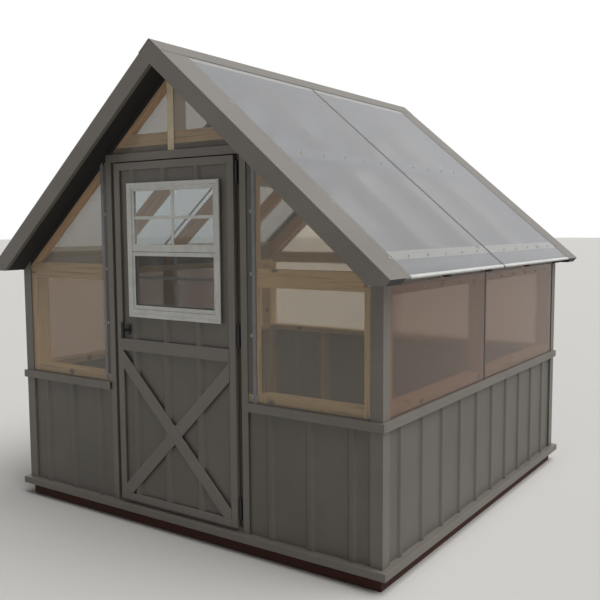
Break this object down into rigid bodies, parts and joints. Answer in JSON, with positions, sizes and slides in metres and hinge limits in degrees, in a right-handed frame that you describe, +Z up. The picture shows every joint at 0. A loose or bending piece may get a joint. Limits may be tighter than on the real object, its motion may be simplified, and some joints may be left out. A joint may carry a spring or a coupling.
{
  "type": "greenhouse",
  "caption": "Timber framed garden greenhouse with ribbed steel below, twin-wall glazing above, a gabled roof and a braced door that holds a sliding sash window.",
  "frame": {"origin": "centre of the footprint, on the ground under the base timbers", "axes": "+Z up, -Y out of the front wall that holds the door, +X to the right of someone facing the door"},
  "size_m": [2.684, 2.742, 2.5575],
  "materials": {
    "framing_timber": "rough sawn pine",
    "treated_timber": "brown preservative",
    "lining_timber": "planed pine",
    "painted_steel": "satin",
    "twin_wall_polycarbonate": "clear with inner webs",
    "dark_joiner": "bronze tint",
    "cream_strip": "satin",
    "pale_channel": "satin",
    "black_hardware": "powder coated",
    "zinc_screws": "zinc plated",
    "white_window": "satin",
    "insect_screen": "woven mesh",
    "window_glass": "clear"
  },
  "bodies": {
    "house": {"base_timbers": "treated_timber", "bottom_plates": "framing_timber", "corner_posts": "framing_timber", "wall_studs": "framing_timber", "sill_plates": "framing_timber", "top_plates": "framing_timber", "gable_girts": "framing_timber", "door_jambs": "framing_timber", "door_liner": "lining_timber", "door_stops": "lining_timber", "door_header": "framing_timber", "king_posts": "framing_timber", "rafters": "framing_timber", "purlins": "framing_timber", "ridge_board": "framing_timber", "eave_blocks": "framing_timber", "fly_rafters": "framing_timber", "siding_front": "painted_steel", "siding_right": "painted_steel", "siding_left": "painted_steel", "siding_back": "painted_steel", "base_trims": "painted_steel", "belt_trims_ends": "painted_steel", "belt_trim_right": "painted_steel", "belt_trim_left": "painted_steel", "corner_trims": "painted_steel", "door_casings": "painted_steel", "rake_trims_front": "painted_steel", "rake_trims_back": "painted_steel", "rake_soffits": "painted_steel", "ridge_cap": "painted_steel", "eave_channels": "pale_channel", "roof_panels_right": "twin_wall_polycarbonate", "roof_panels_left": "twin_wall_polycarbonate", "roof_joiners": "dark_joiner", "glazing_front": "twin_wall_polycarbonate", "glazing_right": "twin_wall_polycarbonate", "glazing_left": "twin_wall_polycarbonate", "glazing_back": "twin_wall_polycarbonate", "wall_joiners": "dark_joiner", "gable_strip": "cream_strip", "hinge_jamb_leaves": "black_hardware", "hinge_pins": "black_hardware", "panel_screws": "zinc_screws"},
    "door_leaf": {"door_core": "framing_timber", "door_skin": "painted_steel", "door_edge_trims": "painted_steel", "door_mid_rail": "painted_steel", "door_braces": "painted_steel", "hinge_door_leaves": "black_hardware", "window_frame": "white_window", "upper_sash": "white_window", "upper_glass": "window_glass", "screen_frame": "white_window", "screen_mesh": "insect_screen", "latch_rose": "black_hardware"},
    "sash": {"lower_sash": "white_window", "lower_glass": "window_glass"},
    "latch": {"latch_handle": "black_hardware", "latch_cam": "black_hardware"}
  },
  "joints": [
    {"name": "door_swing", "type": "hinge", "parent": "house", "child": "door_leaf", "pos_m": [0.428, -1.231, 1], "axis": [0, 0, 1], "range_deg": [0, 120]},
    {"name": "sash_slide", "type": "slide", "parent": "door_leaf", "child": "sash", "axis": [0, 0, 1], "range_m": [0, 0.285]},
    {"name": "latch_turn", "type": "hinge", "parent": "door_leaf", "child": "latch", "pos_m": [-0.34, -1.231, 1.082], "axis": [0, 1, 0], "range_deg": [0, 90]}
  ]
}
